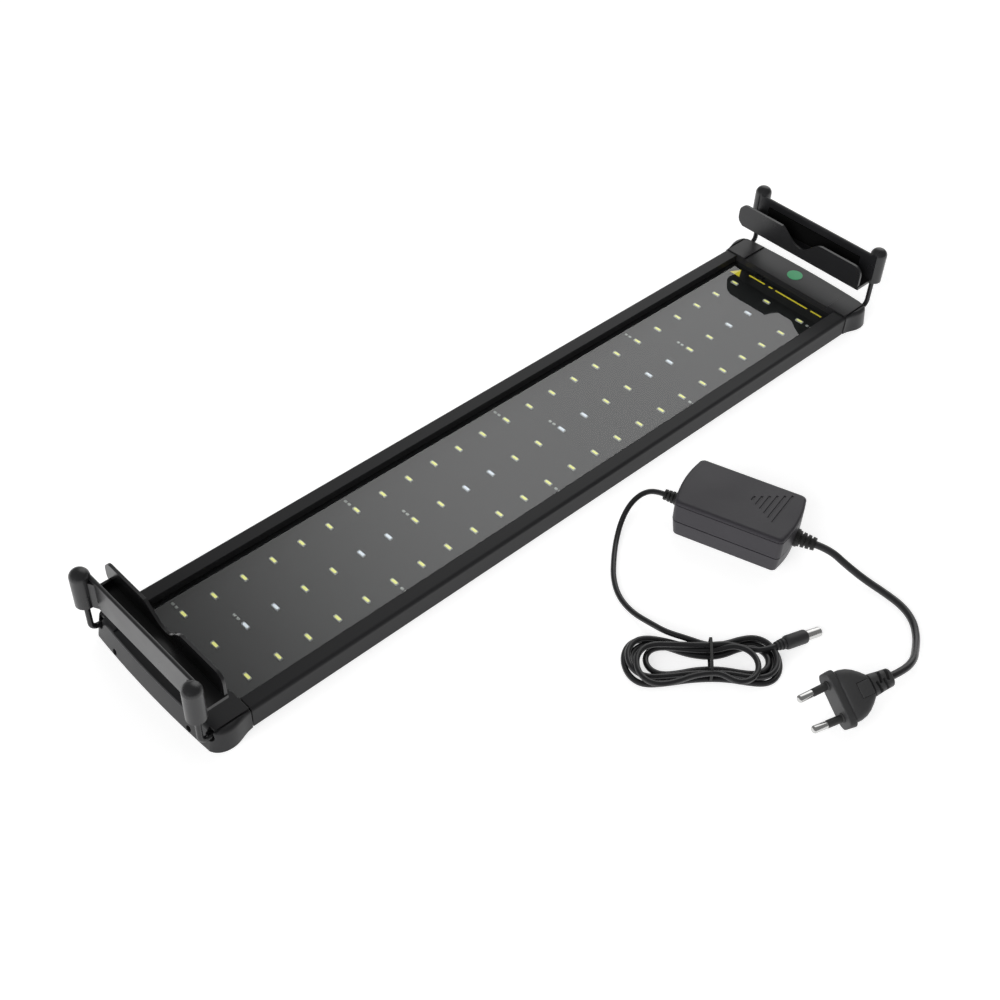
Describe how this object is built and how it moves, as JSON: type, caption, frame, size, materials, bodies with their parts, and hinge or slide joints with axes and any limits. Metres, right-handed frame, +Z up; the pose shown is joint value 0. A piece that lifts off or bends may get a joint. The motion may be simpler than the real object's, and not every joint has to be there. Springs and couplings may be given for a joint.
{
  "type": "extendable LED aquarium light",
  "caption": "Flat rectangular LED aquarium light with extendable wire brackets, rim clips at both ends, and a mains adapter with a tied low-voltage lead and two-pin plug.",
  "frame": {"origin": "middle of the lamp's back, on the surface it lies on", "axes": "+X along the lamp towards the end with the power inlet, +Y across it away from the adapter, +Z up out of the LED side, the way the brackets stand"},
  "size_m": [0.5182, 0.2965, 0.0508],
  "materials": {
    "anodised_frame": "dark anodised, fine satin",
    "board_black": "black solder mask, satin",
    "led_white": "white housing with yellow phosphor",
    "led_blue": "white housing, clear dome",
    "resistor": "ceramic body with tinned ends",
    "foam": "black foam",
    "clear_glass": "clear, glossy",
    "yellow_mark": "printed yellow",
    "green_sticker": "plain green disc",
    "cap_black": "black moulded plastic, fine texture",
    "screw_steel": "zinc plated",
    "socket_black": "black moulded",
    "contact_metal": "nickel plated",
    "guide_plastic": "slippery black plastic",
    "rod_black": "black lacquered steel wire",
    "collar_metal": "swaged ring",
    "clip_black": "black moulded plastic, satin",
    "pad_rubber": "soft black rubber",
    "adapter_plastic": "charcoal moulded plastic, fine texture",
    "adapter_screw": "black zinc",
    "pcb": "phenolic board",
    "winding": "taped winding",
    "capacitor": "sleeved can",
    "relief_rubber": "soft black vinyl",
    "ac_sheath": "black vinyl, satin",
    "plug_plastic": "moulded black vinyl",
    "pin_metal": "nickel plated brass",
    "pin_sleeve": "black insulating sleeve",
    "dc_sheath": "black vinyl, satin",
    "tie": "black coated wire tie",
    "connector_plastic": "moulded black vinyl",
    "barrel_metal": "nickel plated",
    "barrel_insulator": "black moulded"
  },
  "bodies": {
    "lamp": {"frame_extrusion": "anodised_frame", "led_board": "board_black", "white_leds": "led_white", "blue_leds": "led_blue", "board_resistors": "resistor", "spacer_strips": "foam", "cover_glass": "clear_glass", "panel_marks": "yellow_mark", "green_dot": "green_sticker", "dc_jack": "socket_black", "jack_contacts": "contact_metal", "left_cap": "cap_black", "left_cap_cover": "cap_black", "left_cap_screws": "screw_steel", "left_rod_guides": "guide_plastic", "right_cap": "cap_black", "right_cap_cover": "cap_black", "right_cap_screws": "screw_steel", "right_rod_guides": "guide_plastic", "adapter_top": "adapter_plastic", "adapter_bottom": "adapter_plastic", "adapter_screws": "adapter_screw", "adapter_board": "pcb", "adapter_transformer": "winding", "adapter_capacitors": "capacitor", "ac_relief": "relief_rubber", "dc_relief": "relief_rubber", "ac_cord": "ac_sheath", "plug_body": "plug_plastic", "plug_pins": "pin_metal", "plug_sleeves": "pin_sleeve", "dc_cord": "dc_sheath", "dc_hank": "dc_sheath", "hank_tie": "tie", "connector_body": "connector_plastic", "connector_barrel": "barrel_metal", "connector_insulator": "barrel_insulator"},
    "left_arm": {"left_rod_near": "rod_black", "left_rod_far": "rod_black", "left_rod_stops": "collar_metal", "left_clip": "clip_black", "left_clip_pad": "pad_rubber"},
    "right_arm": {"right_rod_near": "rod_black", "right_rod_far": "rod_black", "right_rod_stops": "collar_metal", "right_clip": "clip_black", "right_clip_pad": "pad_rubber"}
  },
  "joints": [
    {"name": "left_bracket_slide", "type": "slide", "parent": "lamp", "child": "left_arm", "axis": [-1, 0, 0], "range_m": [0, 0.1]},
    {"name": "right_bracket_slide", "type": "slide", "parent": "lamp", "child": "right_arm", "axis": [1, 0, 0], "range_m": [0, 0.1]}
  ]
}
